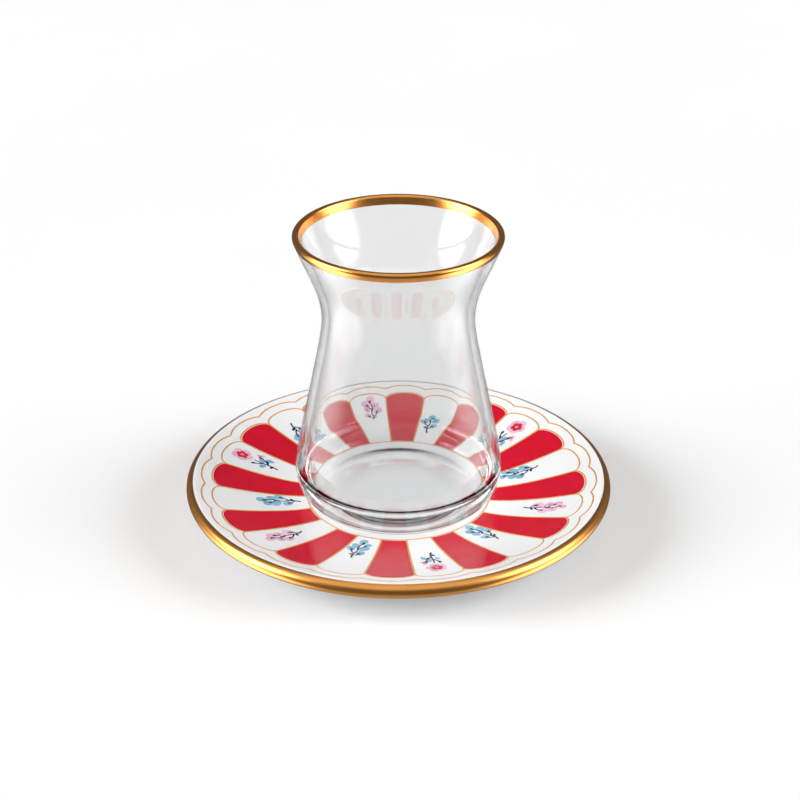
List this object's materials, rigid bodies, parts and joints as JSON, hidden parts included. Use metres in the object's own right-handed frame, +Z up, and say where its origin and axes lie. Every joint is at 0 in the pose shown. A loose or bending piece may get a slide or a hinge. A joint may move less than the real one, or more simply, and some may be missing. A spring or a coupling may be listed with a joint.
{
  "type": "tea glass with saucer",
  "caption": "Small waisted clear tea glass with a gilded lip, standing on a round ceramic saucer decorated with radiating petals and sprigs.",
  "frame": {"origin": "centre of the saucer's foot ring, on the surface it stands on", "axes": "+Z up, along the axis that the glass and the saucer share; X and Y lie in the surface"},
  "size_m": [0.1204, 0.1204, 0.0876],
  "materials": {
    "glaze": "white gloss glaze with red enamel petals, thin gold lines and small painted sprigs",
    "clear_glass": "clear polished",
    "gilding": "fired bright gold on the glass's lip and the saucer's lip",
    "red_enamel": "glossy red enamel in every second petal",
    "line_gold": "thin drawn gold lines round the petals",
    "sprig_enamel": "small sprigs in blue, pink, crimson and dark blue enamel"
  },
  "bodies": {
    "root": {"saucer": "glaze", "glass": "clear_glass"}
  },
  "joints": []
}
